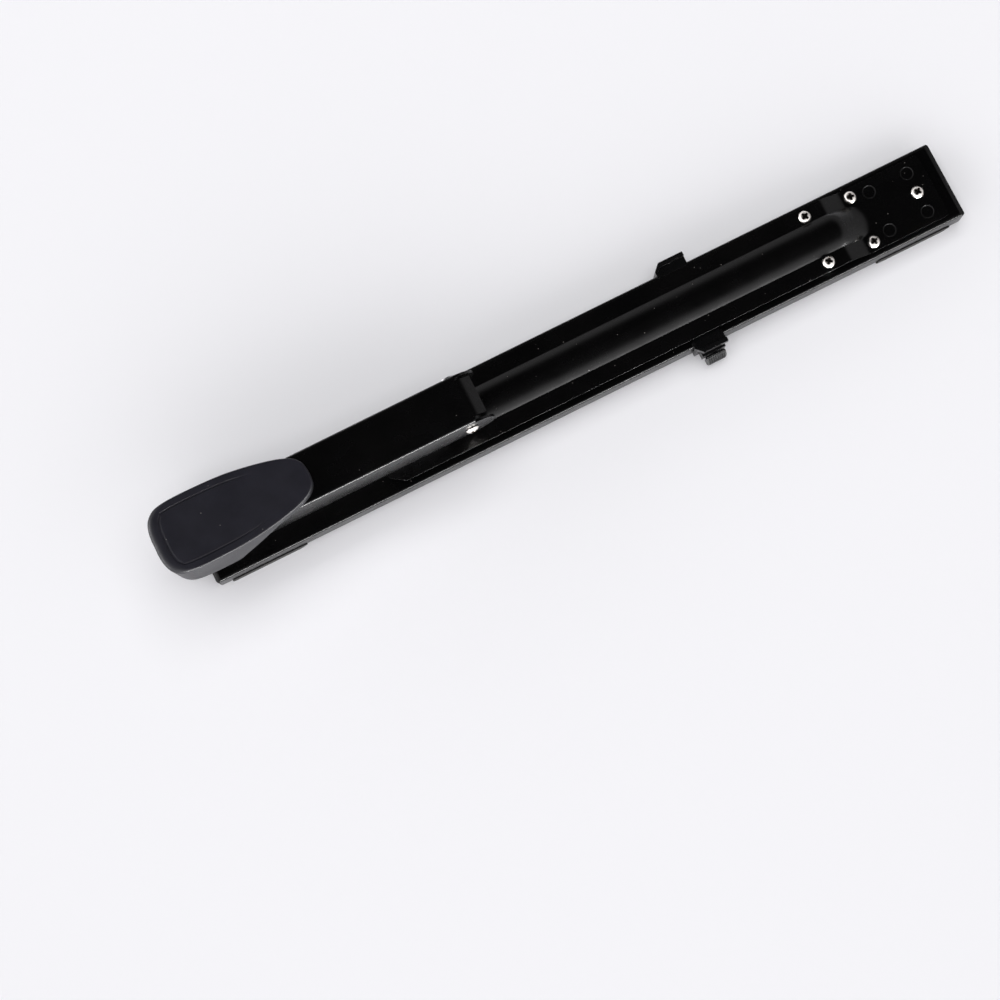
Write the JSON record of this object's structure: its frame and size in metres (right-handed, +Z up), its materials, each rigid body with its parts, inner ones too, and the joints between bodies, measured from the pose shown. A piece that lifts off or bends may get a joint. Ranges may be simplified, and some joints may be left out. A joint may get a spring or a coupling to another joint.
{
  "type": "long reach stapler",
  "caption": "Long reach desk stapler: pressed steel base, ribbed arm, hinged magazine and lever with a moulded grip cap, sliding paper stop and swivelling anvil.",
  "frame": {"origin": "underside of the middle pad, on the table, under the middle of the base", "axes": "+X from the stapling head to the rear of the base, +Z up, the stop's thumb latch on the -Y side"},
  "size_m": [0.395, 0.0509, 0.062],
  "materials": {
    "black_enamel": "gloss",
    "nickel": "polished",
    "zinc_steel": "satin",
    "spring_steel": "satin",
    "staple_wire": "satin",
    "grip_plastic": "fine matte",
    "black_plastic": "satin",
    "sole_plastic": "matte",
    "pad_rubber": "matte"
  },
  "bodies": {
    "frame": {"base_shell": "black_enamel", "sole_plate": "sole_plastic", "mid_pad": "pad_rubber", "front_foot": "pad_rubber", "rear_foot": "pad_rubber", "arm_beam": "black_enamel", "arm_spacers": "zinc_steel", "arm_screws": "nickel", "arm_nuts": "zinc_steel", "arm_rivets": "black_enamel", "pivot_yoke": "black_enamel", "yoke_rivets": "zinc_steel", "pivot_pin": "nickel", "pivot_nut": "zinc_steel", "pivot_washers": "zinc_steel", "lift_spring": "spring_steel"},
    "anvil": {"anvil_plate": "nickel", "anvil_clip": "zinc_steel", "anvil_spring": "spring_steel"},
    "magazine": {"magazine_shell": "zinc_steel", "staple_rail": "zinc_steel", "front_guide": "zinc_steel", "staple_strip": "staple_wire", "pusher_rod": "spring_steel"},
    "feeder": {"pusher": "spring_steel", "pusher_spring": "spring_steel"},
    "lifter": {"lifter_arm": "zinc_steel", "lever_spring": "spring_steel"},
    "lever": {"lever_shell": "black_enamel", "driver_blade": "spring_steel", "driver_rivets": "zinc_steel", "grip_cap": "grip_plastic", "grip_screws": "zinc_steel"},
    "stop": {"stop_body": "black_plastic", "stop_key": "zinc_steel"},
    "latch": {"stop_latch": "black_plastic", "latch_spring": "spring_steel"}
  },
  "joints": [
    {"name": "magazine_pivot", "type": "hinge", "parent": "frame", "child": "magazine", "pos_m": [-0.0582, 0, 0.044], "axis": [0, -1, 0], "range_deg": [0, 2.8], "stiffness_Nm_per_rad": 3, "springref_deg": -5.73, "deforming": ["lift_spring"]},
    {"name": "loading_pivot", "type": "hinge", "parent": "magazine", "child": "lifter", "pos_m": [-0.0582, 0, 0.044], "axis": [0, 1, 0], "range_deg": [0, 80]},
    {"name": "lever_press", "type": "hinge", "parent": "lifter", "child": "lever", "pos_m": [-0.0582, 0, 0.044], "axis": [0, -1, 0], "range_deg": [0, 3.5], "stiffness_Nm_per_rad": 2, "springref_deg": -5.73, "deforming": ["lever_spring"]},
    {"name": "pusher_slide", "type": "slide", "parent": "magazine", "child": "feeder", "axis": [1, 0, 0], "range_m": [0, 0.026], "stiffness_N_per_m": 60, "springref_m": -0.05, "deforming": ["pusher_spring"]},
    {"name": "anvil_turn", "type": "hinge", "parent": "frame", "child": "anvil", "pos_m": [-0.173, 0, 0.0159], "axis": [0, 0, 1], "range_deg": [0, 180]},
    {"name": "stop_slide", "type": "slide", "parent": "frame", "child": "stop", "axis": [1, 0, 0], "range_m": [-0.12, 0.045]},
    {"name": "latch_press", "type": "slide", "parent": "stop", "child": "latch", "axis": [0, -1, 0], "range_m": [0, 0.0012], "stiffness_N_per_m": 300, "springref_m": -0.002, "deforming": ["latch_spring"]}
  ]
}
